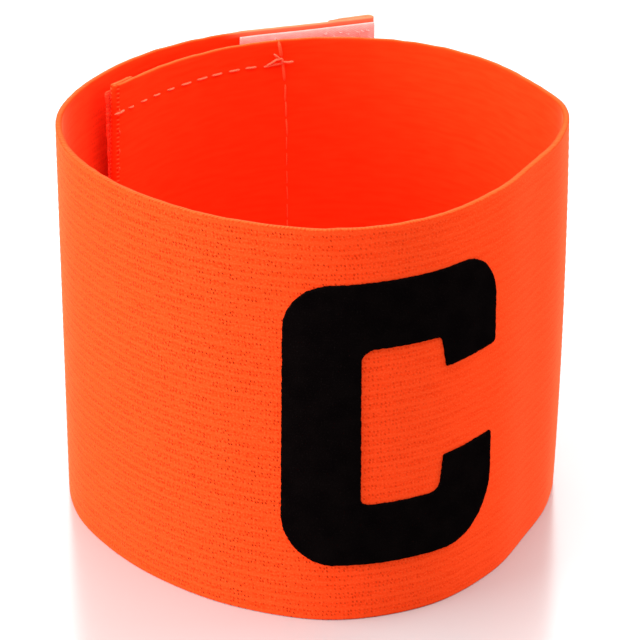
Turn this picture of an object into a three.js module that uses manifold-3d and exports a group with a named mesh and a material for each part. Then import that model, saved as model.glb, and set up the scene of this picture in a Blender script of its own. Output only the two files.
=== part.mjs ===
import * as THREE from "three";
import { mergeVertices } from "three/addons/utils/BufferGeometryUtils.js";
import Module from "manifold-3d";

// Captain armband: one strip of ribbed elastic, closed into a loop by hook-and-loop tape, with a
// flocked block letter on the front. It stands on its lower edge. Millimetres, +Z up, letter to -Y.

// The strip of elastic. Its run starts at the inner end's fold and ends at the free end's fold.
const stripWidth = 70;
const stripThickness = 1.1;
const edgeRounding = 0.25;
const innerHem = 6;
const freeHem = 9;

// The loop that the closed strip makes: its mean radius, the straight free end past the last bend,
// and how far the free end climbs, because the strip was closed slightly askew.
const loopRadius = 45;
const freeEnd = 12.15;
const freeEndLift = 1.2;
const climbShare = 0.28;

// The closure tapes, sewn on the strip's two facing sides.
const hookTapeLength = 26.6;
const hookTapeThickness = 1.2;
const hookTapeMargin = 0.3;
const hookTapeInset = 0.3;
const loopTapeLength = 41.5;
const loopTapeThickness = 1;
const loopTapeMargin = 1.3;
const loopTapeOverhang = 0.7;

// The block letter, drawn flat and laid on the outer face.
const letterWidth = 39;
const letterHeight = 50.2;
const letterThickness = 0.5;
const letterStem = 12.7;
const letterBar = 11.4;
const letterArm = 11.8;
const letterMouth = 16;
const letterCorner = 9;
const letterCounterCorner = 1.8;
const letterRaise = 0.5;
const letterShift = 1.8;

// Air between neighbours, and the size of the facets.
const clearance = 0.3;
const columnLength = 3;
const roundSides = 20;

// One thickness of elastic, both tapes and the air between them: how far apart the two layers of
// the strip run where the closure holds.
const closureStack = stripThickness + hookTapeThickness + loopTapeThickness + 3 * clearance;

// The run of the closed strip seen from above, from the inner end round the right side, the front
// and the left side to the free end at the back.
//   turn: bearing in degrees, 270 at the front
//   reach: distance from the loop's axis, as a share of the loop radius
//   layers: how far the run lies outside the inner layer, in closure stacks
//   lean: how far the foot stands outside the head, as a share of the strip's width
const run = [
  { turn: 512, reach: 0.935, layers: 0, lean: 0 },
  { turn: 492, reach: 0.95, layers: 0, lean: 0 },
  { turn: 472, reach: 1.0, layers: 0, lean: 0 },
  { turn: 452, reach: 1.04, layers: 0, lean: 0 },
  { turn: 432, reach: 1.05, layers: 0, lean: 0 },
  { turn: 412, reach: 1.01, layers: 0, lean: -0.002 },
  { turn: 392, reach: 0.955, layers: 0, lean: -0.005 },
  { turn: 372, reach: 0.945, layers: 0, lean: -0.007 },
  { turn: 352, reach: 0.895, layers: 0, lean: -0.004 },
  { turn: 332, reach: 0.87, layers: 0, lean: 0.003 },
  { turn: 312, reach: 0.925, layers: 0, lean: 0.009 },
  { turn: 292, reach: 1.005, layers: 0, lean: 0.006 },
  { turn: 272, reach: 1.04, layers: 0, lean: 0 },
  { turn: 252, reach: 1.0, layers: 0, lean: -0.003 },
  { turn: 232, reach: 0.965, layers: 0, lean: -0.006 },
  { turn: 212, reach: 0.96, layers: 0, lean: -0.004 },
  { turn: 192, reach: 0.99, layers: 0, lean: 0.002 },
  { turn: 172, reach: 1.005, layers: 0.2, lean: 0.004 },
  { turn: 152, reach: 0.92, layers: 1.29, lean: 0.002 },
  { turn: 132, reach: 0.95, layers: 1.37, lean: 0.002 },
  { turn: 112, reach: 1.0, layers: 1.19, lean: 0.002 },
  { turn: 92, reach: 1.04, layers: 1.26, lean: 0.002 },
];

// A smooth line along the run at one height of the strip: 0 at its foot, 1 at its head.
function rail(heightShare) {
  const points = run.map(({ turn, reach, layers, lean }) => {
    const bearing = THREE.MathUtils.degToRad(turn);
    const leanHere = (0.5 - heightShare) * lean * stripWidth;
    const radius = reach * loopRadius + layers * closureStack + leanHere;
    const height = heightShare * stripWidth;
    return new THREE.Vector3(radius * Math.cos(bearing), radius * Math.sin(bearing), height);
  });
  const line = new THREE.CatmullRomCurve3(points, false, "catmullrom", 0.5);
  line.arcLengthDivisions = 100 * run.length;
  return line;
}

const footRail = rail(0);
const middleRail = rail(0.5);
const headRail = rail(1);
const bentLength = middleRail.getLength();
const stripLength = bentLength + freeEnd;
const climbLength = climbShare * stripLength;

// The strip's frame at a distance along its run. Past both ends of the rails it goes on straight.
function placeAt(distance) {
  const bentPart = THREE.MathUtils.clamp(distance, 0, bentLength);
  const railShare = middleRail.getUtoTmapping(bentPart / bentLength);
  const foot = footRail.getPoint(railShare);
  const head = headRail.getPoint(railShare);
  const along = middleRail.getTangent(railShare);
  const upward = head.clone().sub(foot).divideScalar(stripWidth);
  const outward = upward.clone().cross(along).normalize();
  const middle = foot.lerp(head, 0.5).addScaledVector(along, distance - bentPart);
  middle.z += freeEndLift * Math.max(0, 1 - (stripLength - distance) / climbLength);
  return { middle, along, outward, upward };
}

// A point given by its distance along the strip, its offset outward from the middle of the
// thickness, and its height above the middle of the width.
function pointOnStrip(distance, offset, height) {
  const { middle, outward, upward } = placeAt(distance);
  return middle.addScaledVector(outward, offset).addScaledVector(upward, height);
}

// One stretch of the run, as a path that a section is swept along with its x outward and its y up.
class Stretch extends THREE.Curve {
  constructor(from, to) {
    super();
    this.from = from;
    this.to = to;
  }

  distanceAt(share) {
    return THREE.MathUtils.lerp(this.from, this.to, share);
  }

  getPoint(share, target = new THREE.Vector3()) {
    return target.copy(placeAt(this.distanceAt(share)).middle);
  }

  computeFrenetFrames(steps) {
    const places = Array.from({ length: steps + 1 }, (_, i) => placeAt(this.distanceAt(i / steps)));
    return {
      tangents: places.map((place) => place.along),
      normals: places.map((place) => place.outward),
      binormals: places.map((place) => place.upward),
    };
  }
}

// A ply's section: thickness across, width up, with its four long edges eased.
function plySection(innerFace, outerFace, width) {
  const section = new THREE.Shape();
  const top = width / 2;
  section.moveTo(innerFace + edgeRounding, -top);
  section.lineTo(outerFace - edgeRounding, -top);
  section.lineTo(outerFace, -top + edgeRounding);
  section.lineTo(outerFace, top - edgeRounding);
  section.lineTo(outerFace - edgeRounding, top);
  section.lineTo(innerFace + edgeRounding, top);
  section.lineTo(innerFace, top - edgeRounding);
  section.lineTo(innerFace, -top + edgeRounding);
  section.closePath();
  return section;
}

function sweptPly(section, from, to) {
  const steps = Math.max(1, Math.ceil((to - from) / columnLength));
  return new THREE.ExtrudeGeometry(section, { extrudePath: new Stretch(from, to), steps });
}

// The round nose of a fold, as thick as two plies, standing on the line between the plies.
function foldNose(distance) {
  const top = stripWidth / 2;
  const profile = [
    new THREE.Vector2(0, -top),
    new THREE.Vector2(stripThickness - edgeRounding, -top),
    new THREE.Vector2(stripThickness, -top + edgeRounding),
    new THREE.Vector2(stripThickness, top - edgeRounding),
    new THREE.Vector2(stripThickness - edgeRounding, top),
    new THREE.Vector2(0, top),
  ];
  const { along, outward, upward } = placeAt(distance);
  const stand = new THREE.Matrix4().makeBasis(outward, upward, along);
  stand.setPosition(pointOnStrip(distance, stripThickness / 2, 0));
  return new THREE.LatheGeometry(profile, roundSides).applyMatrix4(stand);
}

const wasm = await Module();
wasm.setup();

function toSolid(geometry) {
  const bare = new THREE.BufferGeometry();
  bare.setAttribute("position", geometry.getAttribute("position"));
  bare.setIndex(geometry.getIndex());
  const merged = mergeVertices(bare, 1e-4);
  const vertProperties = merged.getAttribute("position").array;
  const triVerts = new Uint32Array(merged.getIndex().array);
  return new wasm.Manifold(new wasm.Mesh({ numProp: 3, vertProperties, triVerts }));
}

function toGeometry(solid) {
  const { vertProperties, triVerts } = solid.getMesh();
  const geometry = new THREE.BufferGeometry();
  geometry.setAttribute("position", new THREE.BufferAttribute(vertProperties, 3));
  geometry.setIndex(new THREE.BufferAttribute(triVerts, 1));
  return geometry;
}

function joined(geometries) {
  return toGeometry(geometries.map(toSolid).reduce((whole, solid) => whole.add(solid)));
}

function piece(name, geometry, material) {
  const facets = geometry.getIndex() ? geometry.toNonIndexed() : geometry;
  facets.computeVertexNormals();
  const mesh = new THREE.Mesh(facets, new THREE.MeshStandardMaterial(material));
  mesh.name = name;
  return mesh;
}

// The elastic: the main ply, and at each end a hem folded back over its outer face.
function elasticBand() {
  const innerFace = -stripThickness / 2;
  const outerFace = stripThickness / 2;
  const lap = stripThickness / 4;
  const innerNose = stripThickness;
  const freeNose = stripLength - stripThickness;
  const mainPly = plySection(innerFace, outerFace, stripWidth);
  const hemPly = plySection(outerFace - lap, outerFace + stripThickness, stripWidth);
  return joined([
    sweptPly(mainPly, innerNose, freeNose),
    sweptPly(hemPly, innerNose, innerHem),
    sweptPly(hemPly, stripLength - freeHem, freeNose),
    foldNose(innerNose),
    foldNose(freeNose),
  ]);
}

// The hook tape, on the inner face of the free end.
function hookTape() {
  const outerFace = -stripThickness / 2 - clearance;
  const innerFace = outerFace - hookTapeThickness;
  const section = plySection(innerFace, outerFace, stripWidth - 2 * hookTapeMargin);
  const end = stripLength - hookTapeInset;
  return sweptPly(section, end - hookTapeLength, end);
}

// The loop tape, on the outer face of the inner end. It covers the hem, steps down past it and
// sticks out a little beyond the fold.
function loopTape() {
  const innerFace = stripThickness / 2 + clearance;
  const width = stripWidth - 2 * loopTapeMargin;
  const overHem = innerFace + stripThickness;
  const onHem = plySection(overHem, overHem + loopTapeThickness, width);
  const onPly = plySection(innerFace, innerFace + loopTapeThickness, width);
  const step = innerHem + clearance;
  const stepEnd = step + loopTapeThickness;
  const stepSection = plySection(innerFace, overHem + loopTapeThickness, width);
  return joined([
    sweptPly(onHem, -loopTapeOverhang, stepEnd),
    sweptPly(stepSection, step, stepEnd),
    sweptPly(onPly, step, loopTapeLength - loopTapeOverhang),
  ]);
}

// The block letter: a stem, two bars and two short arms, with round outer corners and a mouth
// that opens to the right.
function letterShape() {
  const right = letterWidth / 2;
  const top = letterHeight / 2;
  const lip = letterMouth / 2;
  const armLeft = right - letterArm;
  const stemRight = -right + letterStem;
  const barInside = top - letterBar;
  const round = letterCorner;
  const inner = letterCounterCorner;
  const outline = new THREE.Shape();
  outline.moveTo(armLeft, lip);
  outline.lineTo(right, lip);
  outline.lineTo(right, top - round);
  outline.absarc(right - round, top - round, round, 0, Math.PI / 2);
  outline.absarc(-right + round, top - round, round, Math.PI / 2, Math.PI);
  outline.absarc(-right + round, -top + round, round, Math.PI, 1.5 * Math.PI);
  outline.absarc(right - round, -top + round, round, 1.5 * Math.PI, 2 * Math.PI);
  outline.lineTo(right, -lip);
  outline.lineTo(armLeft, -lip);
  outline.absarc(armLeft - inner, -barInside + inner, inner, 0, -Math.PI / 2, true);
  outline.absarc(stemRight + inner, -barInside + inner, inner, -Math.PI / 2, -Math.PI, true);
  outline.absarc(stemRight + inner, barInside - inner, inner, Math.PI, Math.PI / 2, true);
  outline.absarc(armLeft - inner, barInside - inner, inner, Math.PI / 2, 0, true);
  return outline;
}

// The letter is a thin ply bent round the front of the strip, cut to the letter's outline. The
// cutter looks square-on at the letter's centre, so its outline is the bent one seen from there.
// Seen from outside, the letter's right-hand side lies towards the inner end of the run.
function letterC() {
  const middle = stripLength / 2 + letterShift;
  const innerFace = stripThickness / 2 + clearance;
  const outerFace = innerFace + letterThickness;
  const bottom = letterRaise - letterHeight / 2 - clearance;
  const top = letterRaise + letterHeight / 2 + clearance;
  const side = letterWidth / 2 + clearance;
  const section = new THREE.Shape();
  section.moveTo(innerFace, bottom);
  section.lineTo(outerFace, bottom);
  section.lineTo(outerFace, top);
  section.lineTo(innerFace, top);
  section.closePath();
  const ply = sweptPly(section, middle - side, middle + side);

  const { middle: origin, along, outward, upward } = placeAt(middle);
  const rightward = along.clone().negate();
  const seen = letterShape().getPoints(roundSides / 4).map(({ x, y }) => {
    const point = pointOnStrip(middle - x, outerFace, y + letterRaise).sub(origin);
    return new THREE.Vector2(point.dot(rightward), point.dot(upward));
  });
  const cutter = new THREE.ExtrudeGeometry(new THREE.Shape(seen), {
    depth: 2 * letterWidth,
    bevelEnabled: false,
  });
  const stand = new THREE.Matrix4().makeBasis(rightward, upward, outward);
  cutter.translate(0, 0, -letterWidth).applyMatrix4(stand.setPosition(origin));
  return toGeometry(toSolid(ply).intersect(toSolid(cutter)));
}

const armband = new THREE.Group();
armband.name = "captain_armband";
armband.add(
  piece("elastic_band", elasticBand(), { color: 0xff4a17, roughness: 0.85, metalness: 0 }),
  piece("hook_tape", hookTape(), { color: 0xffb3ad, roughness: 0.5, metalness: 0 }),
  piece("loop_tape", loopTape(), { color: 0xf47c62, roughness: 0.95, metalness: 0 }),
  piece("letter_c", letterC(), { color: 0x0b0b0b, roughness: 0.9, metalness: 0 }),
);

// The origin is the middle of the base of the whole armband.
const extent = new THREE.Box3().setFromObject(armband, true);
const centre = extent.getCenter(new THREE.Vector3());
armband.position.set(-centre.x, -centre.y, -extent.min.z);

export default armband;
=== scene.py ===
from collections import namedtuple

import bmesh
import bpy
import numpy as np
from mathutils import Matrix, Vector


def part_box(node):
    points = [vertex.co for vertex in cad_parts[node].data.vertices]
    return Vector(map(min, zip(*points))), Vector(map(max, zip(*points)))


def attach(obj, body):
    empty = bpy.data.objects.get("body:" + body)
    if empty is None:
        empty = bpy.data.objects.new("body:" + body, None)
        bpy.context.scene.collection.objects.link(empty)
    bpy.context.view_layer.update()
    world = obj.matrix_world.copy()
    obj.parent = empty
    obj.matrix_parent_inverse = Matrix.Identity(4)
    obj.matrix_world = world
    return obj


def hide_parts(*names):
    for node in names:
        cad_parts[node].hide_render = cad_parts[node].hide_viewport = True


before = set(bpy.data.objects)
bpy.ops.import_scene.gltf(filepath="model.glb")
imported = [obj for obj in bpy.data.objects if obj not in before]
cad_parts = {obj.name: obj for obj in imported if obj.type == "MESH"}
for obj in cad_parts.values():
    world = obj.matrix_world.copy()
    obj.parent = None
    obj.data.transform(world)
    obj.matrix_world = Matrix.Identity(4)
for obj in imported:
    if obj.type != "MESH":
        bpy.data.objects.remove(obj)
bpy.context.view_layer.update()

# The strip is one length of ribbed orange elastic, knitted from fine yarn over rubber cores. It runs
# once round the arm and laps itself at the back. Each end is folded back over the outer face and
# sewn down as a hem, so the cloth's inner side wraps round the outside of each fold.
strip_width = 0.070
strip_thickness = 0.0011
loop_radius = 0.045
closure_stack = 0.0042
free_end = 0.01215
free_end_lift = 0.0012
climb_share = 0.28
belly = 0.0005
belly_place = 0.120
belly_reach = 0.030
fold_lean = 0.0009
lean_reach = 0.020
lean_depth = 0.016

Station = namedtuple("Station", "turn reach layers lean")
run = [
    Station(turn=512, reach=0.935, layers=0, lean=0),
    Station(turn=492, reach=0.95, layers=0, lean=0),
    Station(turn=472, reach=1.0, layers=0, lean=0),
    Station(turn=452, reach=1.04, layers=0, lean=0),
    Station(turn=432, reach=1.05, layers=0, lean=0),
    Station(turn=412, reach=1.01, layers=0, lean=-0.002),
    Station(turn=392, reach=0.955, layers=0, lean=-0.005),
    Station(turn=372, reach=0.945, layers=0, lean=-0.007),
    Station(turn=352, reach=0.895, layers=0, lean=-0.004),
    Station(turn=332, reach=0.87, layers=0, lean=0.003),
    Station(turn=312, reach=0.925, layers=0, lean=0.009),
    Station(turn=292, reach=1.005, layers=0, lean=0.006),
    Station(turn=272, reach=1.04, layers=0, lean=0),
    Station(turn=252, reach=1.0, layers=0, lean=-0.003),
    Station(turn=232, reach=0.965, layers=0, lean=-0.006),
    Station(turn=212, reach=0.96, layers=0, lean=-0.004),
    Station(turn=192, reach=0.99, layers=0, lean=0.002),
    Station(turn=172, reach=1.005, layers=0.2, lean=0.004),
    Station(turn=152, reach=0.92, layers=1.29, lean=0.002),
    Station(turn=132, reach=0.95, layers=1.37, lean=0.002),
    Station(turn=112, reach=1.0, layers=1.19, lean=0.002),
    Station(turn=92, reach=1.04, layers=1.26, lean=0.002),
]


def rail(height_share):
    """The stations' points at one height of the strip, 0 at its foot and 1 at its head."""
    turn, reach, layers, lean = np.array(run, float).T
    radius = reach * loop_radius + layers * closure_stack
    radius += (0.5 - height_share) * lean * strip_width
    bearing = np.radians(turn)
    height = np.full(len(run), height_share * strip_width)
    return np.stack([radius * np.cos(bearing), radius * np.sin(bearing), height], 1)


def along_rail(points, share):
    """Places and directions on the smooth line through the points, at shares of its stations."""
    ends = [2 * points[0] - points[1]], [2 * points[-1] - points[-2]]
    knots = np.vstack([ends[0], points, ends[1]])
    place = share * (len(points) - 1)
    span = np.clip(place.astype(int), 0, len(points) - 2)
    part = (place - span)[:, None]
    before, start, end, after = (knots[span + step] for step in range(4))
    leave, arrive = (end - before) / 2, (after - start) / 2
    bend = 3 * (end - start) - 2 * leave - arrive
    twist = 2 * (start - end) + leave + arrive
    places = start + part * (leave + part * (bend + part * twist))
    directions = leave + part * (2 * bend + part * 3 * twist)
    return places, directions / np.linalg.norm(directions, axis=1)[:, None]


foot_rail, middle_rail, head_rail = rail(0), rail(0.5), rail(1)
fine_shares = np.linspace(0, 1, 100 * len(run) + 1)
fine_steps = np.diff(along_rail(middle_rail, fine_shares)[0], axis=0)
travelled = np.concatenate([[0], np.cumsum(np.linalg.norm(fine_steps, axis=1))])
bent_length = travelled[-1]
strip_length = bent_length + free_end


def place_at(distance):
    """The strip's middle and its three directions at distances along its run."""
    distance = np.atleast_1d(np.asarray(distance, float))
    bent_part = np.clip(distance, 0, bent_length)
    share = np.interp(bent_part, travelled, fine_shares)
    foot = along_rail(foot_rail, share)[0]
    head = along_rail(head_rail, share)[0]
    along = along_rail(middle_rail, share)[1]
    upward = (head - foot) / strip_width
    outward = np.cross(upward, along)
    outward /= np.linalg.norm(outward, axis=1)[:, None]
    middle = (foot + head) / 2 + along * (distance - bent_part)[:, None]
    to_go = (strip_length - distance) / (climb_share * strip_length)
    middle[:, 2] += free_end_lift * np.clip(1 - to_go, 0, None)
    return middle, along, outward, upward


def belly_at(distance, height):
    """How far the strip bellies out at mid-height on its right-hand side."""
    nearness = np.exp(-(((distance - belly_place) / belly_reach) ** 2))
    return belly * nearness * (1 - (2 * height / strip_width) ** 2)


def lean_at(distance, height):
    """How far the inner end's fold stands out along its run: a little more lower down."""
    nearness = np.clip(1 - distance / lean_reach, 0, 1)
    return fold_lean * nearness * np.clip((strip_width / 2 - height) / lean_depth, 0, 1)


def cloth_point(distance, offset, height):
    """Points by distance along the run, offset outward and height above the strip's middle."""
    middle, along, outward, upward = place_at(distance)
    distance, height = np.reshape(distance, (-1, 1)), np.reshape(height, (-1, 1))
    offset = np.reshape(offset, (-1, 1)) + belly_at(distance, height)
    return middle + outward * offset + upward * height - along * lean_at(distance, height)


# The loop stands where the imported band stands: same sides, same front.
band_low, band_high = (np.array(corner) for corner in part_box("elastic_band"))
outline_steps = 4000
run_along = np.tile(np.linspace(0, bent_length, outline_steps), 2)
foot_and_head = np.repeat([-strip_width / 2, strip_width / 2], outline_steps)
outline = cloth_point(run_along, strip_thickness / 2, foot_and_head)
shift_x = (band_low[0] + band_high[0] - outline[:, 0].min() - outline[:, 0].max()) / 2
shift_y = band_low[1] - outline[:, 1].min()
for points in (foot_rail, middle_rail, head_rail):
    points += [shift_x, shift_y, 0]

Column = namedtuple("Column", "distance offset ahead outward thickness relief cut")
Hem = namedtuple("Hem", "length ply fold_radius taper raw_edge")
inner_hem = Hem(length=0.006, ply=0.0009, fold_radius=0.00046, taper=0.0006, raw_edge=0.0005)
free_hem = Hem(length=0.009, ply=0.0011, fold_radius=0.0006, taper=0.0042, raw_edge=0.00015)
ply_swell = 0.003
plain_columns = 165
taper_columns = 5
fold_columns = 10
last_flat = 0.7


def nose_of(hem):
    """How far the fold's axis lies behind the end of the strip."""
    return hem.ply / 2 + hem.fold_radius


def hem_columns(hem):
    """Columns of cloth from a hem's raw edge round its fold.

    distance counts from the end of the strip, and cut counts the cloth from the raw edge.
    """
    nose = nose_of(hem)
    full = hem.length - hem.taper
    columns = []
    tapered = np.linspace(hem.length, full, taper_columns)
    for reach in np.concatenate([tapered, [last_flat * full, nose]]):
        rise = min(1, (hem.length - reach) / hem.taper)
        thickness = hem.raw_edge + (hem.ply - hem.raw_edge) * rise
        offset = 2 * hem.fold_radius - (hem.ply - thickness) / 2
        columns.append(Column(reach, offset, 0, -1, thickness, 0, hem.length - reach))
    for turn in np.linspace(0, np.pi, fold_columns)[1:-1]:
        reach = nose - hem.fold_radius * np.sin(turn)
        offset = hem.fold_radius * (1 + np.cos(turn))
        cut = hem.length - nose + turn * hem.fold_radius
        side = np.sin(turn), -np.cos(turn)
        columns.append(Column(reach, offset, *side, hem.ply, 0, cut))
    return columns


inner_nose, free_nose = nose_of(inner_hem), nose_of(free_hem)
inner_turned = inner_hem.length - 2 * inner_nose + np.pi * inner_hem.fold_radius
free_turned = free_hem.length - 2 * free_nose + np.pi * free_hem.fold_radius
cut_length = inner_turned + strip_length + free_turned

columns = hem_columns(inner_hem)
for distance in np.linspace(inner_nose, strip_length - free_nose, plain_columns):
    covered = distance < inner_hem.length or distance > strip_length - free_hem.length
    swell = np.clip((distance - inner_hem.length) / ply_swell, 0, 1)
    thickness = inner_hem.ply + (strip_thickness - inner_hem.ply) * swell
    relief = 0 if covered else 1
    columns.append(Column(distance, 0, 0, 1, thickness, relief, inner_turned + distance))
for column in reversed(hem_columns(free_hem)):
    cut = cut_length - column.cut
    distance = strip_length - column.distance
    columns.append(column._replace(distance=distance, ahead=-column.ahead, cut=cut))

rib_pitch = 0.00164
rib_count = round(strip_width / rib_pitch)
rows_in_rib = 5
rib_relief = 0.00005
rib_mean = 0.375
inner_relief = 0.35
edge_rounding = 0.00022
edge_rows = 7
edge_shoulder = 0.5
edge_crown = 0.8
edge_wander = 0.00004

# One ring of rows round the cloth's section: up its outer side, over the head, down the inner
# side and under the foot. Each row has a height and a share of half the thickness. The ribs are
# full on the outer side, lower on the inner side, and stop before the edges.
flat_top = strip_width / 2 - edge_rounding
climb = np.linspace(-flat_top, flat_top, rib_count * rows_in_rib + 1)
edge_turn = np.linspace(0, np.pi, edge_rows)[1:-1]
edge_share = np.sign(np.cos(edge_turn)) * np.abs(np.cos(edge_turn)) ** edge_shoulder
edge_height = flat_top + edge_rounding * np.sin(edge_turn) ** edge_crown
ring_height = np.concatenate([climb, edge_height, climb[::-1], -edge_height])
ring_share = np.concatenate([np.ones(len(climb)), edge_share, -np.ones(len(climb)), -edge_share])
crest = (0.5 + 0.5 * np.cos(2 * np.pi * ring_height / rib_pitch)) ** 2 - rib_mean
crest *= (np.abs(ring_height) < flat_top - rib_pitch / 4) * rib_relief


def mesh_piece(name, points, faces, cut=None):
    """A smooth mesh in the row frame. cut gives each point its place on the flat cloth."""
    mesh = bpy.data.meshes.new(name)
    mesh.from_pydata([tuple(point) for point in points], [], [tuple(face) for face in faces])
    mesh.polygons.foreach_set("use_smooth", [True] * len(mesh.polygons))
    if cut is not None:
        corners = np.zeros(len(mesh.loops), np.int32)
        mesh.loops.foreach_get("vertex_index", corners)
        layer = mesh.uv_layers.new(name="cut")
        layer.data.foreach_set("uv", np.asarray(cut, np.float32)[corners].ravel())
    made = bpy.data.objects.new(name, mesh)
    bpy.context.scene.collection.objects.link(made)
    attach(made, "root")
    return made


def ring_faces(rings, size, closed_ends=True):
    """Quads between neighbouring rings of points, and across the two end rings."""
    here = np.arange(size)
    over = (here + 1) % size
    faces = []
    for ring in range(rings - 1):
        low, high = ring * size, (ring + 1) * size
        faces.append(np.stack([low + here, high + here, high + over, low + over], 1))
    if closed_ends:
        half = size // 2
        near = np.arange(half - 1)
        far = size - 1 - near
        first = np.stack([near, near + 1, far - 1, far], 1)
        faces += [first, (first + (rings - 1) * size)[:, ::-1]]
    return np.concatenate(faces)


every = np.array(columns, float)
distance, offset, ahead, facing, thickness, relief, cut = (values[:, None] for values in every.T)
middle, along, outward, upward = place_at(every[:, 0])
wander = np.random.default_rng(7).normal(0, edge_wander, (len(every), 1)) * (ring_height > flat_top)
side_relief = np.where(ring_share > 0, relief, inner_relief)
half_thickness = ring_share * (thickness / 2 + crest * side_relief)
out_of_line = offset + facing * half_thickness + belly_at(distance, ring_height)
past_end = ahead * half_thickness - lean_at(distance, ring_height)
right_side = np.broadcast_to(ring_share > 0, (len(every), len(ring_share)))
strip_points = (
    middle[:, None]
    + outward[:, None] * out_of_line[..., None]
    + along[:, None] * past_end[..., None]
    + upward[:, None] * (ring_height + wander)[..., None]
)
strip_cut = np.stack(np.broadcast_arrays(cut, ring_height), -1)
ring_order = np.roll(np.arange(len(ring_height)), len(edge_height) // 2)
strip = mesh_piece(
    "elastic_strip",
    strip_points[:, ring_order].reshape(-1, 3),
    ring_faces(len(columns), len(ring_height)),
    strip_cut[:, ring_order].reshape(-1, 2),
)
side_mark = strip.data.attributes.new("right_side", "FLOAT", "POINT")
side_mark.data.foreach_set("value", right_side[:, ring_order].ravel().astype(np.float32))


class Finish:
    """A material, with short ways to add and wire the nodes of its pattern."""

    def __init__(self, name, **sockets):
        self.material = bpy.data.materials.new(name)
        self.material.use_nodes = True
        self.tree = self.material.node_tree
        self.shader = self.tree.nodes["Principled BSDF"]
        for socket, value in sockets.items():
            self.shader.inputs[socket.replace("_", " ")].default_value = value

    def wire(self, socket, value):
        if isinstance(value, bpy.types.NodeSocket):
            self.tree.links.new(value, socket)
        else:
            socket.default_value = value

    def add(self, kind, inputs=None, **settings):
        made = self.tree.nodes.new("ShaderNode" + kind)
        for setting, value in settings.items():
            setattr(made, setting, value)
        for socket, value in (inputs or {}).items():
            self.wire(made.inputs[socket], value)
        return made

    def maths(self, operation, *terms):
        inputs = dict(enumerate(terms))
        return self.add("Math", inputs, operation=operation).outputs[0]

    def fade(self, value, start, end, low=0.0, high=1.0):
        inputs = {"Value": value, "From Min": start, "From Max": end}
        inputs.update({"To Min": low, "To Max": high})
        kind = "SMOOTHSTEP"
        return self.add("MapRange", inputs, interpolation_type=kind).outputs["Result"]

    def noise(self, vector, size, detail=2.0):
        """Soft patches about that many metres across."""
        inputs = {"Vector": vector, "Scale": 1 / size, "Detail": detail}
        return self.add("TexNoise", inputs).outputs["Fac"]

    def blend(self, share, first, second, kind="MIX"):
        made = self.add("Mix", data_type="RGBA", blend_type=kind)
        self.wire(made.inputs["Factor"], share)
        self.wire(made.inputs[6], first)
        self.wire(made.inputs[7], second)
        return made.outputs[2]

    def cut_place(self):
        """The place on the flat cloth: its map, how far along and how high."""
        flat = self.add("UVMap", uv_map="cut").outputs["UV"]
        parts = self.add("SeparateXYZ", {"Vector": flat})
        return flat, parts.outputs["X"], parts.outputs["Y"]

    def surface(self, colour, height, depth):
        """The pattern's colour and its relief, that many metres deep."""
        self.wire(self.shader.inputs["Base Color"], colour)
        bump = self.add("Bump", {"Height": height, "Distance": depth, "Strength": 1.0})
        self.wire(self.shader.inputs["Normal"], bump.outputs["Normal"])

    def onto(self, *pieces):
        for piece in pieces:
            piece.data.materials.clear()
            piece.data.materials.append(self.material)


# The knit is rows of small loops, two rows to a rib and drawn together in pairs. Small pits lie
# between the loops, each a little out of its place, sunk in the bump and darkened with painted
# shade: faint and shallow on the armband's right-hand half, deep and dark on its left, towards
# the strongest lamp. The rib crests carry a painted highlight, and the inner face is painted a
# deeper red as shade from light bounced inside the loop. Flecks of yarn show on top. A painted
# highlight runs along the rim, paler towards the free end, and two lines of stitches show on the
# inner end's fold, with a painted highlight on each stitch bump and painted shade between them.
loop_pitch = 0.000667
loop_wander = 0.5
wander_patch = 0.004
row_pitch = rib_pitch / 2
row_pairing = 0.13
loop_slant = -0.3
pit_wander = 0.22, 0.14
pit_size = 0.23, 0.28
pit_rim = 1.3
pit_floor = 0.3
pit_patch = 0.003
inner_pits = 0.2
shallow_share = 0.2
inner_crest = 0.3
crest_highlight_share = 0.55
streak_stretch = 0.14
streak_size = 0.0008
fleck_size = 0.0003
rim_highlight_band = 0.00007, 0.00001
pale_highlight_band = 0.0011, 0.0005
line_fade = 0.00024, 0.00006
line_dip_shade = 0.8
line_rise = 1.5
knit_depth = 0.00005
orange_shade = (0.92, 0.046, 0.006, 1)
orange = (0.99, 0.058, 0.009, 1)
# The crest colour is a painted highlight on the rib crests, against which the valleys read as painted
# shade.
orange_crest_highlight = (1.0, 0.066, 0.011, 1)
orange_fleck = (1.0, 0.082, 0.018, 1)
# The two pit colours are painted shade in the pits: dark on the left half, faint on the right.
orange_pit_shade = (0.18, 0.010, 0.0005, 1)
faint_pit_shade = (0.84, 0.02, 0.002, 1)
# The rim colours are painted highlights along the rim, the paler one towards the free end.
orange_rim_highlight = (1.0, 0.088, 0.018, 1)
pale_rim_highlight = (1.0, 0.175, 0.085, 1)
pale_highlight_from = 0.317
pale_highlight_to = 0.324
# The bump colour is a painted highlight on the stitch bumps of the fold lines.
orange_bump_highlight = (1.0, 0.1, 0.028, 1)
# The inner tint is painted shade: a deeper red for light bounced inside the loop.
inner_bounce_shade = (1.0, 0.78, 0.72, 1)
fold_lines = 0.0056, 0.0064
deep_shaded_pits_from = 0.155
deep_shaded_pits_to = 0.212

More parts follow.
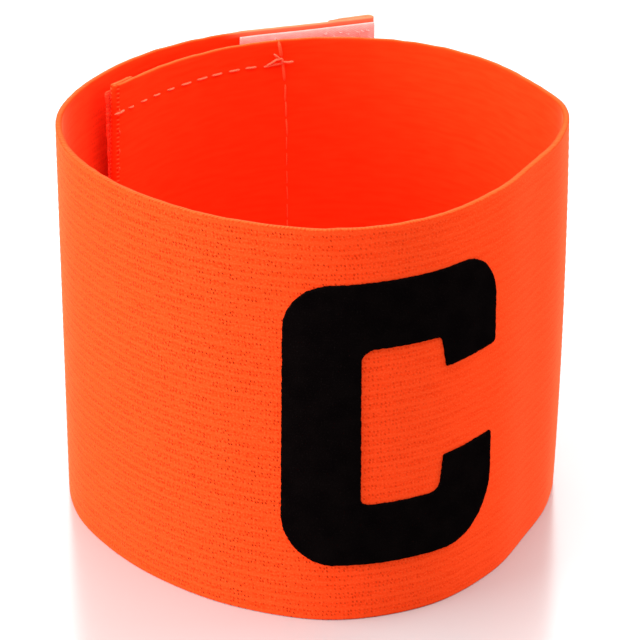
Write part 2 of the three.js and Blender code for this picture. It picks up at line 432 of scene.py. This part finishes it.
knit = Finish(
    "ribbed_elastic",
    Roughness=0.9,
    Specular_IOR_Level=0.0,
    Sheen_Weight=0.32,
    Sheen_Roughness=0.3,
    Sheen_Tint=(1.0, 0.6, 0.3, 1),
)
flat, across, high = knit.cut_place()
outer = knit.add("Attribute", attribute_name="right_side").outputs["Fac"]
uneven = knit.maths("MULTIPLY", knit.noise(flat, wander_patch), loop_wander * loop_pitch)
rows = knit.maths("DIVIDE", high, row_pitch)
in_row = knit.maths("SUBTRACT", knit.maths("FRACT", rows), 0.5)
odd_row = knit.maths("FRACT", knit.maths("MULTIPLY", knit.maths("FLOOR", rows), 0.5))
paired = knit.maths("MULTIPLY_ADD", odd_row, 4 * row_pairing, -row_pairing)
pushed = knit.maths("ADD", across, uneven)
slanted = knit.maths("MULTIPLY_ADD", in_row, loop_slant * row_pitch, pushed)
loops = knit.maths("DIVIDE", slanted, loop_pitch)
in_loop = knit.maths("SUBTRACT", knit.maths("FRACT", loops), 0.5)
loop_name = {"X": knit.maths("FLOOR", loops), "Y": knit.maths("FLOOR", rows)}
loop_name = knit.add("CombineXYZ", loop_name).outputs[0]
drawn = knit.add("TexWhiteNoise", {"Vector": loop_name}, noise_dimensions="2D").outputs["Color"]
drawn = knit.add("SeparateColor", {"Color": drawn})
out_of_place = knit.fade(drawn.outputs["Green"], 0, 1, -pit_wander[0], pit_wander[0])
pit_x = knit.maths("ADD", in_loop, out_of_place)
out_of_place = knit.fade(drawn.outputs["Blue"], 0, 1, -pit_wander[1], pit_wander[1])
pit_y = knit.maths("ADD", knit.maths("ADD", in_row, out_of_place), paired)
pit_x = knit.maths("POWER", knit.maths("DIVIDE", pit_x, pit_size[0]), 2.0)
pit_y = knit.maths("POWER", knit.maths("DIVIDE", pit_y, pit_size[1]), 2.0)
pit = knit.fade(knit.maths("ADD", pit_x, pit_y), pit_rim, pit_floor)
patches = knit.fade(knit.noise(flat, pit_patch), 0.3, 0.7, 0.65, 1.0)
pit_depth_and_shade_share = knit.maths("MULTIPLY", patches, knit.fade(drawn.outputs["Red"], 0.0, 0.85, 0.2, 1.0))
pit_depth_and_shade_share = knit.maths("MULTIPLY", pit_depth_and_shade_share, knit.fade(outer, 0.0, 1.0, inner_pits, 1.0))
# Painted shade in the pits: dark on the left half, towards the strongest lamp, faint on the right; the
# pits' bump deepens with it.
left_pit_depth_and_shade = knit.fade(across, deep_shaded_pits_from, deep_shaded_pits_to)
pit_depth_and_shade_scale = knit.maths("MULTIPLY_ADD", left_pit_depth_and_shade, 1 - shallow_share, shallow_share)
pit_depth_and_shade_share = knit.maths("MULTIPLY", pit_depth_and_shade_share, pit_depth_and_shade_scale)
pit_depth_and_shade = knit.maths("MULTIPLY", pit, pit_depth_and_shade_share)
rib_wave = knit.maths("COSINE", knit.maths("MULTIPLY", high, 2 * np.pi / rib_pitch))
rib_crest = knit.fade(rib_wave, -0.2, 1.0)
rib_crest = knit.maths("MULTIPLY", rib_crest, knit.fade(outer, 0.0, 1.0, inner_crest, 1.0))
streak_place = {"X": knit.maths("MULTIPLY", across, streak_stretch), "Y": high}
streaks = knit.noise(knit.add("CombineXYZ", streak_place).outputs[0], streak_size)
colour = knit.blend(knit.fade(streaks, 0.3, 0.7), orange_shade, orange)
# Painted highlight on the rib crests.
colour = knit.blend(knit.maths("MULTIPLY", rib_crest, crest_highlight_share), colour, orange_crest_highlight)
flecks = knit.fade(knit.noise(flat, fleck_size, 1.0), 0.45, 0.7)
colour = knit.blend(knit.maths("MULTIPLY", flecks, outer), colour, orange_fleck)
# Painted shade on the inner face: a deeper red for light bounced inside the loop.
colour = knit.blend(knit.maths("SUBTRACT", 1.0, outer), colour, inner_bounce_shade, "MULTIPLY")
colour = knit.blend(pit_depth_and_shade, colour, knit.blend(left_pit_depth_and_shade, faint_pit_shade, orange_pit_shade))
edge = knit.maths("ABSOLUTE", high)
# A paler painted highlight along the rim towards the free end.
pale = knit.fade(edge, *(strip_width / 2 - inset for inset in pale_highlight_band))
pale = knit.maths("MULTIPLY", pale, knit.fade(across, pale_highlight_from, pale_highlight_to))
# Painted highlight along the rim, broken up loop by loop, half as strong on the inner face.
edge = knit.fade(edge, *(strip_width / 2 - inset for inset in rim_highlight_band))
rim_highlight_loops = knit.maths("COSINE", knit.maths("MULTIPLY", pushed, 2 * np.pi / loop_pitch))
edge = knit.maths("MULTIPLY", edge, knit.fade(rim_highlight_loops, -1.0, 1.0, 0.35, 1.0))
edge = knit.maths("MULTIPLY", edge, knit.fade(outer, 0.0, 1.0, 0.5, 1.0))
colour = knit.blend(edge, colour, orange_rim_highlight)
colour = knit.blend(pale, colour, pale_rim_highlight)
height = knit.maths("MULTIPLY_ADD", rib_crest, 0.5, knit.maths("MULTIPLY", pit_depth_and_shade, -1.0))
row_wave = knit.maths("COSINE", knit.maths("MULTIPLY", high, 2 * np.pi / row_pitch))
row_swell = knit.fade(row_wave, -0.3, 0.8)
# Along the fold lines: real stitch bumps, with a painted highlight on each bump and painted shade between
# them.
for fold_line in fold_lines:
    off_line = knit.maths("ABSOLUTE", knit.maths("SUBTRACT", across, fold_line))
    on_line = knit.fade(off_line, *line_fade)
    bump = knit.maths("MULTIPLY", on_line, row_swell)
    dip_shade = knit.maths("SUBTRACT", on_line, bump)
    colour = knit.blend(bump, colour, orange_bump_highlight)
    colour = knit.blend(knit.maths("MULTIPLY", dip_shade, line_dip_shade), colour, faint_pit_shade)
    height = knit.maths("MULTIPLY_ADD", bump, line_rise, height)
knit.surface(colour, height, knit_depth)
knit.onto(strip)
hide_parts("elastic_band")

# The hook tape is woven nylon with fine monofilament hooks, sewn on the inner face of the free
# end. It is pale pink and slightly clear. Its hooks start a little below its edge and point to
# the loop tape, each leaning its own way.
hook_tape_length = 0.0266
hook_tape_margin = 0.0008
hook_tape_inset = 0.0003
hook_tape_bevel = 0.0001
bevel_length = 0.0002
hook_tape_columns = 24
hook_ground = 0.00045


def tape_mesh(name, stations, width, wave=0.0, seed=0, splay=0.0):
    """A closed ply of tape. stations are rows of distance, inner offset and outer offset.

    wave is how rough its outer side is. splay is how far the top corner of its first end stands
    out past the rest of that end.
    """
    rows = 60
    edge_row = 0.0002
    round_share = 0.35
    corner_height = 0.014
    corner_length = 0.002
    heights = np.linspace(-width / 2 + edge_row, width / 2 - edge_row, rows - 1)
    heights = np.concatenate([[-width / 2], heights, [width / 2]])
    up_side = np.concatenate([heights, heights[::-1]])
    outer = np.concatenate([np.ones(rows + 1), np.zeros(rows + 1)])
    outer[[0, rows]] -= round_share
    outer[[rows + 1, -1]] += round_share
    rough = np.random.default_rng(seed).normal(0, wave, (len(stations), len(up_side)))
    points, flat = [], []
    for (distance, inside, outside), bumps in zip(stations, rough):
        lift = inside + (outside - inside) * outer + bumps * (outer > 0.9)
        near_corner = np.clip(1 + (up_side - width / 2) / corner_height, 0, 1)
        near_corner *= max(0, 1 - (distance - stations[0][0]) / corner_length)
        points.append(cloth_point(distance - splay * near_corner, lift, up_side))
        flat.append(np.stack([np.full(len(up_side), distance), up_side], 1))
    faces = ring_faces(len(stations), len(up_side))
    return mesh_piece(name, np.concatenate(points), faces, np.concatenate(flat))


hook_tape_end = strip_length - hook_tape_inset
hook_tape_start = hook_tape_end - hook_tape_length
hook_tape_width = strip_width - 2 * hook_tape_margin
under_strip = -strip_thickness / 2
hook_face = under_strip - hook_ground
full_ends = hook_tape_start + bevel_length, hook_tape_end - bevel_length
full_part = np.linspace(*full_ends, hook_tape_columns)
hook_stations = [
    (hook_tape_start, hook_face + hook_tape_bevel, under_strip - hook_tape_bevel),
    *[(distance, hook_face, under_strip) for distance in full_part],
    (hook_tape_end, hook_face + hook_tape_bevel, under_strip - hook_tape_bevel),
]
hook_tape = tape_mesh("hook_tape_ground", hook_stations, hook_tape_width)


def tube(line, radius, sides):
    """Points, faces and flat places of a round thread along a line, closed at both ends by a point."""
    end_girth = 0.6
    tip = 0.7 * radius
    line = np.asarray(line, float)
    ahead = np.gradient(line, axis=0)
    ahead /= np.linalg.norm(ahead, axis=1)[:, None]
    upright = np.array([0.0, 0.0, 1.0])
    if abs(ahead[:, 2]).max() > 0.9:
        upright = np.array([0.31, 0.95, 0.0])
    side = np.cross(ahead, upright)
    side /= np.linalg.norm(side, axis=1)[:, None]
    other = np.cross(side, ahead)
    turn = np.linspace(0, 2 * np.pi, sides, endpoint=False)
    girth = np.full(len(line), radius)
    girth[[0, -1]] *= end_girth
    round_it = side[:, None] * np.cos(turn)[:, None] + other[:, None] * np.sin(turn)[:, None]
    body = line[:, None] + round_it * girth[:, None, None]
    tips = np.stack([line[0] - ahead[0] * tip, line[-1] + ahead[-1] * tip])
    points = np.concatenate([body.reshape(-1, 3), tips])
    faces = [tuple(face) for face in ring_faces(len(line), sides, closed_ends=False)]
    last = (len(line) - 1) * sides
    for here in range(sides):
        over = (here + 1) % sides
        faces.append((len(points) - 2, here, over))
        faces.append((len(points) - 1, last + over, last + here))
    length = np.concatenate([[0], np.cumsum(np.linalg.norm(np.diff(line, axis=0), axis=1))])
    flat = np.stack(np.broadcast_arrays(length[:, None], turn / (2 * np.pi)), -1).reshape(-1, 2)
    flat = np.concatenate([flat, [[0, 0], [length[-1], 0]]])
    return points, faces, flat


def joined_tubes(name, tubes):
    """Many threads as one mesh piece."""
    points, faces, flat, count = [], [], [], 0
    for some_points, some_faces, some_flat in tubes:
        points.append(some_points)
        faces += [tuple(count + corner for corner in face) for face in some_faces]
        flat.append(some_flat)
        count += len(some_points)
    return mesh_piece(name, np.concatenate(points), faces, np.concatenate(flat))


hook_height = 0.00085
hook_reach = 0.0004
hook_wire = 0.00009
hook_sides = 5
hook_points = 6
hook_spacing = 0.0014
hook_row_spacing = 0.0012
hook_border = 0.0011
hook_root = 0.0001
hook_lean = 0.5
hook_wander = 0.00022, 0.00018
bend = np.linspace(0, 1.25 * np.pi, hook_points)
stem_rise = [-hook_root, 0.3 * hook_height]
crook_rise = 0.6 * hook_height + 0.4 * hook_height * np.sin(bend)
rise = np.concatenate([stem_rise, crook_rise])
sideways = np.concatenate([[0, 0], hook_reach / 2 * (1 - np.cos(bend))])
hook_low = -hook_tape_width / 2 + hook_border
hook_high = hook_tape_width / 2 - hook_border / 2
draws = np.random.default_rng(11)
hooks = []
for distance in np.arange(hook_tape_start + hook_border, hook_tape_end - hook_border, hook_spacing):
    for height in np.arange(hook_low, hook_high, hook_row_spacing):
        lean = draws.normal(0, hook_lean)
        run_line = distance + draws.normal(0, hook_wander[0]) + sideways * np.cos(lean)
        height_line = height + draws.normal(0, hook_wander[1]) + sideways * np.sin(lean)
        line = cloth_point(run_line, hook_face - rise, height_line)
        hooks.append(tube(line, hook_wire, hook_sides))
hook_field = joined_tubes("hook_tape_hooks", hooks)

nylon_pink = (1.0, 0.41, 0.37, 1)
nylon_pale = (1.0, 0.47, 0.43, 1)
hook_pink = (1.0, 0.31, 0.28, 1)
hook_pale = (1.0, 0.40, 0.37, 1)
warp_pitch = 0.0006
weft_pitch = 0.0004
cloud_size = 0.0012
weave_depth = 0.00002
glint_size = 0.0005
glint_depth = 0.00001
nylon = Finish("hook_nylon", Roughness=0.6, Specular_IOR_Level=0.1, Subsurface_Weight=0.15)
nylon.shader.inputs["Subsurface Radius"].default_value = (0.0012, 0.0005, 0.0004)
nylon.shader.inputs["Subsurface Scale"].default_value = 1.0
flat, across, high = nylon.cut_place()
warp = nylon.maths("SINE", nylon.maths("MULTIPLY", across, 2 * np.pi / warp_pitch))
weft = nylon.maths("SINE", nylon.maths("MULTIPLY", high, 2 * np.pi / weft_pitch))
weave = nylon.maths("MULTIPLY", warp, weft)
cloudy = nylon.fade(nylon.noise(flat, cloud_size), 0.35, 0.7)
nylon.surface(nylon.blend(cloudy, nylon_pink, nylon_pale), weave, weave_depth)
nylon.onto(hook_tape)
monofilament = Finish("hook_monofilament", Roughness=0.5, Specular_IOR_Level=0.2)
flat, _, _ = monofilament.cut_place()
glint = monofilament.fade(monofilament.noise(flat, glint_size), 0.3, 0.7)
monofilament.surface(monofilament.blend(glint, hook_pink, hook_pale), glint, glint_depth)
monofilament.onto(hook_field)
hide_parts("hook_tape")

# The loop tape is salmon nylon with a brushed pile of fine loops, sewn on the outer face of the
# inner end. It starts just behind the fold, covers the hem and steps down past it, and only its
# top corner is splayed out beyond the fold. Its pile faces the hooks.
loop_tape_start = 0.0004
loop_tape_end = 0.0412
loop_tape_margin = 0.0013
loop_tape_splay = 0.0011
loop_tape_columns = 70
loop_ground = 0.0003
loop_pile = 0.0003
pile_wave = 0.00007
step_length = 0.0012
over_hem = 2 * inner_hem.fold_radius + inner_hem.ply / 2
over_strip = strip_thickness / 2
loop_tape_width = strip_width - 2 * loop_tape_margin
loop_stations = []
for distance in np.linspace(loop_tape_start, loop_tape_end, loop_tape_columns):
    drop = np.clip((distance - inner_hem.length) / step_length, 0, 1)
    ground = over_hem + (over_strip - over_hem) * drop * drop * (3 - 2 * drop)
    cut_end = distance in (loop_tape_start, loop_tape_end)
    top = ground + loop_ground + (0 if cut_end else loop_pile)
    loop_stations.append((distance, ground, top))
loop_tape = tape_mesh(
    "loop_tape_pile", loop_stations, loop_tape_width, wave=pile_wave, seed=3, splay=loop_tape_splay
)

salmon = (1.0, 0.13, 0.065, 1)
salmon_deep = (1.0, 0.07, 0.025, 1)
curl_size = 0.0005
brush_size = 0.0008
tuft_depth = 0.0002
pile = Finish("loop_pile", Roughness=0.95, Specular_IOR_Level=0.0)
flat, _, _ = pile.cut_place()
curls = pile.add("TexVoronoi", {"Vector": flat, "Scale": 1 / curl_size}).outputs["Distance"]
brushed = pile.fade(pile.noise(flat, brush_size, 4.0), 0.3, 0.7)
tufts = pile.maths("MULTIPLY", brushed, pile.fade(curls, 0.0, 0.8))
pile.surface(pile.blend(tufts, salmon_deep, salmon), tufts, tuft_depth)
pile.onto(loop_tape)
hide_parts("loop_tape")

# The sewing is twisted thread in dashes that dip into the cloth: pale in the loop tape's rows at
# head and foot, orange in its columns and on the free end's outer face, pink on the hook tape.
# Where the first row ends, the machine left a loop, a knot and two cut tails.
Stitch = namedtuple("Stitch", "step length")
row_stitch = Stitch(step=0.00355, length=0.0024)
column_stitch = Stitch(step=0.0035, length=0.0031)
fold_stitch = Stitch(step=0.0035, length=0.0007)
thread_radius = 0.00023
column_radii = 0.00034, 0.00032, 0.00022, 0.00014
fold_thread_radius = 0.00014
thread_sides = 8
dash_points = 7
dash_rise = 0.00010
dash_sink = 1.2
dash_fullness = 0.6
step_wander = 0.00012
length_wander = 0.00015
side_wander = 0.00006
seam_inset = 0.00445
whole_dash = (0,), (1,)
draws = np.random.default_rng(5)


def dash(start, end, face, outside, radius):
    """One visible stitch between two (distance, height) places, on a face at that offset."""
    share = np.linspace(0, 1, dash_points)
    rise = dash_rise * ((1 + dash_sink) * np.sin(np.pi * share) ** dash_fullness - dash_sink)
    distance = start[0] + (end[0] - start[0]) * share
    height = start[1] + (end[1] - start[1]) * share
    lift = face + np.where(outside, 1, -1) * rise
    return tube(cloth_point(distance, lift, height), radius, thread_sides)


def seam(ends, stitch, face, outside, begin=0.0, radius=thread_radius, shown=whole_dash):
    """A row of dashes between two (distance, height) ends, on the outer side or the inner one.

    shown is a list of reaches along the row and the share of a dash that shows at each.
    """
    start, end = np.array(ends)
    reach = np.linalg.norm(end - start)
    course = (end - start) / reach
    dashes = []
    count = max(1, round((reach - begin) / stitch.step))
    true_step = (reach - begin) / count
    for at in begin + np.arange(count) * true_step:
        share = np.interp(at, *shown)
        near = start + course * (at + draws.normal(0, step_wander))
        shown_length = stitch.length * true_step / stitch.step * share
        far = near + course * (shown_length + draws.normal(0, length_wander))
        far = far + draws.normal(0, side_wander, 2)
        dashes.append(dash(near, far, face, outside, radius * share**0.5))
    return dashes


# Near the fold, the inner rows are pulled into the cloth and show less. The column at the loop
# tape's far end wanders at its top, and its thread lies deeper lower down.
head_seam = strip_width / 2 - seam_inset
inside_face = -strip_thickness / 2
loop_seam_start = -0.0002
pulled_in = (0.0, 0.004, 0.020), (1.1, 0.5, 1.0)
row_droop = 0.0006
past_hem = 0.002
tape_end_inset = 0.0012
pile_share = 0.8
loop_seam_end = loop_tape_end - tape_end_inset
corner = (loop_seam_end, head_seam)
loop_tape_face = over_strip + loop_ground + loop_pile * pile_share
pale_dashes, orange_dashes = [], []
for level in (head_seam, -head_seam):
    last = loop_seam_end - (row_stitch.step if level > 0 else 0)
    ends = (loop_seam_start, level - row_droop), (last, level)
    pale_dashes += seam(ends, row_stitch, inside_face, False, shown=pulled_in)
    ends = (inner_hem.length + past_hem, level), (loop_seam_end, level)
    pale_dashes += seam(ends, row_stitch, loop_tape_face, True, row_stitch.step / 2)

column_inset = 0.0002
column_top = strip_width / 2 - column_inset
fold_column = 0.0008
column_drift = [(-0.0006, column_top), (0.0, 0.0315), (0.0006, 0.0265), (0.0008, 0.016)]
column_knees = [(loop_seam_end + drift, height) for drift, height in column_drift]
column_knees.append((column_knees[-1][0], -column_top))
for upper, lower, radius in zip(column_knees, column_knees[1:], column_radii):
    orange_dashes += seam((upper, lower), column_stitch, inside_face, False, radius=radius)
    orange_dashes += seam((upper, lower), column_stitch, loop_tape_face, True)
ends = (fold_column, head_seam), (fold_column, -head_seam)
orange_dashes += seam(ends, fold_stitch, inside_face, False, radius=fold_thread_radius)

hook_seam_insets = 0.0016, 0.0030
before_hem = 0.001
hook_seam_start = hook_tape_start + hook_seam_insets[0]
hook_seam_end = hook_tape_end - hook_seam_insets[1]
over_free_hem = 2 * free_hem.fold_radius + free_hem.ply / 2
hook_dashes = []
for level in (head_seam, -head_seam):
    ends = (hook_seam_start, level), (hook_seam_end, level)
    hook_dashes += seam(ends, row_stitch, hook_face, False)
    ends = (hook_seam_start, level), (strip_length - free_hem.length - before_hem, level)
    orange_dashes += seam(ends, row_stitch, over_strip, True, row_stitch.step / 2)
for distance, face in ((hook_seam_start, over_strip), (hook_seam_end, over_free_hem)):
    ends = (distance, column_top), (distance, -column_top)
    orange_dashes += seam(ends, column_stitch, face, True)
    hook_dashes += seam(ends, column_stitch, hook_face, False, column_stitch.step / 2)

# Two cut tails, the loop, the last stitch and the knot, as steps from the first row's end.
tail_points = 9
Tail = namedtuple("Tail", "places lifts")
thread_tails = [
    Tail(places=[(-0.0018, 0.0022), (-0.0010, 0.0015), (-0.0001, 0.0006)], lifts=[0.0005, 0.0004, 0.0]),
    Tail(places=[(0.0001, 0.0004), (0.0010, 0.0003), (0.0020, 0.0005)], lifts=[0.0, 0.0003, 0.0006]),
    Tail(
        places=[(-0.0033, -0.0001), (-0.0024, 0.0004), (-0.0013, 0.0011), (-0.0003, 0.0011), (0.0, 0.0008)],
        lifts=[0.0, 0.0003, 0.0005, 0.0003, 0.0],
    ),
    Tail(places=[(-0.0036, -0.0002), (-0.0018, 0.0), (-0.0002, 0.0001)], lifts=[0.0, 0.0001, 0.0]),
    Tail(places=[(-0.0002, 0.0001), (0.0, 0.0005), (-0.0001, 0.0010)], lifts=[0.0, 0.0002, 0.0002]),
]
tails = []
for tail in thread_tails:
    knots = np.linspace(0, 1, len(tail.places))
    fine = np.linspace(0, 1, tail_points)
    steps = np.array(tail.places)
    distance = corner[0] + np.interp(fine, knots, steps[:, 0])
    height = corner[1] + np.interp(fine, knots, steps[:, 1])
    lift = inside_face - thread_radius - np.interp(fine, knots, tail.lifts)
    tails.append(tube(cloth_point(distance, lift, height), thread_radius, thread_sides))

pale_seams = joined_tubes("sewing_thread_pale", pale_dashes)
orange_seams = joined_tubes("sewing_thread_orange", orange_dashes)
hook_seams = joined_tubes("sewing_thread_hook_side", hook_dashes)
cut_tails = joined_tubes("sewing_thread_tails", tails)

twist_pitch = 0.0006
twist_depth = 0.00005


def thread_finish(name, lit, shaded):
    """Two plies twisted together: slanting bands along the thread, in the lit colour on the plies and
    painted shade between them.
    """
    thread = Finish(name, Roughness=0.8, Specular_IOR_Level=0.0)
    _, length, round_it = thread.cut_place()
    turns = thread.maths("ADD", thread.maths("DIVIDE", length, twist_pitch), round_it)
    ply = thread.maths("SINE", thread.maths("MULTIPLY", turns, 4 * np.pi))
    ply = thread.fade(ply, -1.0, 0.4)
    thread.surface(thread.blend(ply, shaded, lit), ply, twist_depth)
    return thread


pale_thread = thread_finish("pale_thread", (1.0, 0.24, 0.13, 1), (1.0, 0.11, 0.045, 1))
pale_thread.onto(pale_seams, cut_tails)
orange_thread = thread_finish("orange_thread", (1.0, 0.14, 0.05, 1), (1.0, 0.08, 0.025, 1))
orange_thread.onto(orange_seams)
pink_thread = thread_finish("pink_thread", (1.0, 0.40, 0.36, 1), (1.0, 0.32, 0.28, 1))
pink_thread.onto(hook_seams)

# The letter is black flock: short upright fibres on a thin glue print, laid flat on the ribs of the
# outer face. It is a plain block letter with round outer corners. Its edge is a little ragged
# where the fibres stand over the print.
letter_width = 0.0402
letter_height = 0.0508
Corner = namedtuple("Corner", "x y round")
letter_corners = [
    Corner(x=0.0081, y=0.0080, round=0.0003),
    Corner(x=0.0201, y=0.0084, round=0.0009),
    Corner(x=0.0203, y=0.0255, round=0.0087),
    Corner(x=-0.0193, y=0.0250, round=0.0080),
    Corner(x=-0.01995, y=-0.0250, round=0.0090),
    Corner(x=0.0193, y=-0.0254, round=0.0110),
    Corner(x=0.0193, y=-0.00745, round=0.0003),
    Corner(x=0.00775, y=-0.0079, round=0.0004),
    Corner(x=0.0070, y=-0.01425, round=0.0022),
    Corner(x=-0.0069, y=-0.01425, round=0.0014),
    Corner(x=-0.0069, y=0.0136, round=0.0022),
    Corner(x=0.0071, y=0.0136, round=0.0010),
]
letter_raise = 0.0005
letter_shift = 0.0018
flock_height = 0.0004
flock_edge = 0.0003
ragged_edge = 0.00003
outline_points = 900
corner_points = 24
cuts_across = 0.0015
first_cut = 0.001
cuts_in_rib = 3
rib_follow = 0.5


def letter_outline(steps):
    """The letter's edge drawn flat, anticlockwise, with its corners rounded, in even steps."""
    sharp = np.array([corner[:2] for corner in letter_corners])
    rounded = []
    for before, corner, after, (_, _, radius) in zip(
        np.roll(sharp, 1, 0), sharp, np.roll(sharp, -1, 0), letter_corners
    ):
        back = (before - corner) / np.linalg.norm(before - corner)
        forth = (after - corner) / np.linalg.norm(after - corner)
        half = np.arccos(back @ forth) / 2
        inward = (back + forth) / np.linalg.norm(back + forth)
        centre = corner + inward * radius / np.sin(half)
        first = corner + back * radius / np.tan(half) - centre
        last = corner + forth * radius / np.tan(half) - centre
        for share in np.linspace(0, 1, corner_points):
            spoke = first * (1 - share) + last * share
            rounded.append(centre + spoke * radius / np.linalg.norm(spoke))
    closed = np.array(rounded + rounded[:1])
    reach = np.concatenate([[0], np.cumsum(np.linalg.norm(np.diff(closed, axis=0), axis=1))])
    even = np.linspace(0, reach[-1], steps, endpoint=False)
    return np.stack([np.interp(even, reach, closed[:, axis]) for axis in range(2)], 1)


edge_line = letter_outline(outline_points)
edge_ahead = np.roll(edge_line, -1, 0) - np.roll(edge_line, 1, 0)
edge_out = np.stack([edge_ahead[:, 1], -edge_ahead[:, 0]], 1)
edge_out /= np.linalg.norm(edge_out, axis=1)[:, None]
ragged = np.random.default_rng(2).normal(0, ragged_edge, len(edge_line))
ragged = (ragged + np.roll(ragged, 1)) / 1.4

flock_mesh = bmesh.new()
Ring = namedtuple("Ring", "inward lift")
rings = [Ring(0, -0.2), Ring(0, 0.45), Ring(0.35, 0.85), Ring(1, 1)]
ring_verts = []
for ring in rings:
    line = edge_line + edge_out * (ragged - ring.inward * flock_edge)[:, None]
    ring_verts.append([flock_mesh.verts.new((x, y, ring.lift * flock_height)) for x, y in line])
for low, high in zip(ring_verts, ring_verts[1:]):
    for here in range(len(low)):
        over = (here + 1) % len(low)
        flock_mesh.faces.new((low[here], low[over], high[over], high[here]))
for verts in (ring_verts[0][::-1], ring_verts[-1]):
    face = flock_mesh.faces.new(verts)
    face.normal_update()
    bmesh.ops.triangulate(flock_mesh, faces=[face])
# The flat letter is cut across and along, so that it can bend round the loop and over the ribs.
for x in np.arange(-letter_width / 2 + first_cut, letter_width / 2, cuts_across):
    everything = flock_mesh.verts[:] + flock_mesh.edges[:] + flock_mesh.faces[:]
    bmesh.ops.bisect_plane(flock_mesh, geom=everything, plane_co=(x, 0, 0), plane_no=(1, 0, 0))
for y in np.arange(-letter_height / 2, letter_height / 2, rib_pitch / cuts_in_rib):
    everything = flock_mesh.verts[:] + flock_mesh.edges[:] + flock_mesh.faces[:]
    bmesh.ops.bisect_plane(flock_mesh, geom=everything, plane_co=(0, y, 0), plane_no=(0, 1, 0))
letter_mesh = bpy.data.meshes.new("letter_flock")
flock_mesh.to_mesh(letter_mesh)
flock_mesh.free()
drawn = np.zeros(len(letter_mesh.vertices) * 3)
letter_mesh.vertices.foreach_get("co", drawn)
drawn = drawn.reshape(-1, 3)
letter_middle = strip_length / 2 + letter_shift
up_strip = drawn[:, 1] + letter_raise
under_rib = (0.5 + 0.5 * np.cos(2 * np.pi * up_strip / rib_pitch)) ** 2
lift = strip_thickness / 2 + drawn[:, 2] + rib_follow * rib_relief * under_rib
bent = cloth_point(letter_middle - drawn[:, 0], lift, up_strip)
letter_mesh.vertices.foreach_set("co", bent.ravel())
letter_mesh.polygons.foreach_set("use_smooth", [True] * len(letter_mesh.polygons))
corners = np.zeros(len(letter_mesh.loops), np.int32)
letter_mesh.loops.foreach_get("vertex_index", corners)
layer = letter_mesh.uv_layers.new(name="cut")
layer.data.foreach_set("uv", drawn[corners, :2].astype(np.float32).ravel())
letter = bpy.data.objects.new("letter_flock", letter_mesh)
bpy.context.scene.collection.objects.link(letter)
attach(letter, "root")

fibre_size = 0.00025
fibre_depth = 0.0001
brushed_patch = 0.004
black_deep = (0.0018, 0.0011, 0.0012, 1)
black_brushed = (0.0028, 0.0018, 0.0018, 1)
black_speckle = (0.007, 0.005, 0.005, 1)
flock = Finish("black_flock", Roughness=1.0, Specular_IOR_Level=0.0)
flat, _, _ = flock.cut_place()
fibres = flock.noise(flat, fibre_size, 3.0)
speckle = flock.fade(fibres, 0.55, 0.8)
brushed = flock.fade(flock.noise(flat, brushed_patch), 0.3, 0.7)
black = flock.blend(brushed, black_deep, black_brushed)
flock.surface(flock.blend(speckle, black, black_speckle), fibres, fibre_depth)
flock.onto(letter)
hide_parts("letter_c")

# The armband stands on a smooth white table in a white room, under four soft lamps, the strongest
# of them to its left. The camera looks down on it a little, square to its front.
table_side = 6.0
table_colour = (0.46, 0.46, 0.46, 1)
room_light = 0.69
table_top = bmesh.new()
bmesh.ops.create_grid(table_top, x_segments=1, y_segments=1, size=table_side / 2)
table_mesh = bpy.data.meshes.new("table_top")
table_top.to_mesh(table_mesh)
table_top.free()
table_piece = bpy.data.objects.new("table_top", table_mesh)
bpy.context.scene.collection.objects.link(table_piece)
glossy_white = Finish("glossy_white", Roughness=0.2, IOR=2.2)
glossy_white.shader.inputs["Base Color"].default_value = table_colour
glossy_white.onto(table_piece)

world = bpy.data.worlds.new("white_room")
world.use_nodes = True
world.node_tree.nodes["Background"].inputs["Color"].default_value = (1, 1, 1, 1)
world.node_tree.nodes["Background"].inputs["Strength"].default_value = room_light
bpy.context.scene.world = world

Lamp = namedtuple("Lamp", "name place size power")
for lamp in (
    Lamp("left_softbox", (-0.95, -0.17, 0.32), 0.9, 20.5),
    Lamp("right_softbox", (0.87, 0.38, 0.44), 0.9, 6.5),
    Lamp("top_softbox", (0.0, -0.1, 1.0), 0.8, 9.5),
    Lamp("back_softbox", (0.0, 1.1, 0.52), 0.9, 5),
):
    light = bpy.data.lights.new(lamp.name, "AREA")
    light.size = lamp.size
    light.energy = lamp.power
    placed = bpy.data.objects.new(lamp.name, light)
    placed.location = lamp.place
    aim = Vector((0, 0, strip_width / 2)) - placed.location
    placed.rotation_euler = aim.to_track_quat("-Z", "Y").to_euler()
    bpy.context.scene.collection.objects.link(placed)

sensor_width = 0.036
lens = 0.15604
camera_distance = 0.489287
camera_rise = 0.421279
aim_right = -0.001263
aim_up = -0.003066
camera_roll = -0.000453
camera_data = bpy.data.cameras.new("camera")
camera_data.sensor_width = sensor_width * 1000
camera_data.lens = lens * 1000
camera = bpy.data.objects.new("camera", camera_data)
loop_middle = Vector((shift_x, shift_y, strip_width / 2))
back_off = Vector((0, -camera_distance * np.cos(camera_rise), camera_distance * np.sin(camera_rise)))
camera.matrix_world = (
    Matrix.Translation(loop_middle + back_off)
    @ Matrix.Rotation(np.pi / 2 - camera_rise, 4, "X")
    @ Matrix.Rotation(-aim_right, 4, "Y")
    @ Matrix.Rotation(aim_up, 4, "X")
    @ Matrix.Rotation(camera_roll, 4, "Z")
)
bpy.context.scene.collection.objects.link(camera)
bpy.context.scene.camera = camera
bpy.context.scene.view_settings.view_transform = "Standard"
# The bright cloth passes light on from face to face inside the loop and between its layers.
bpy.context.scene.cycles.diffuse_bounces = 8
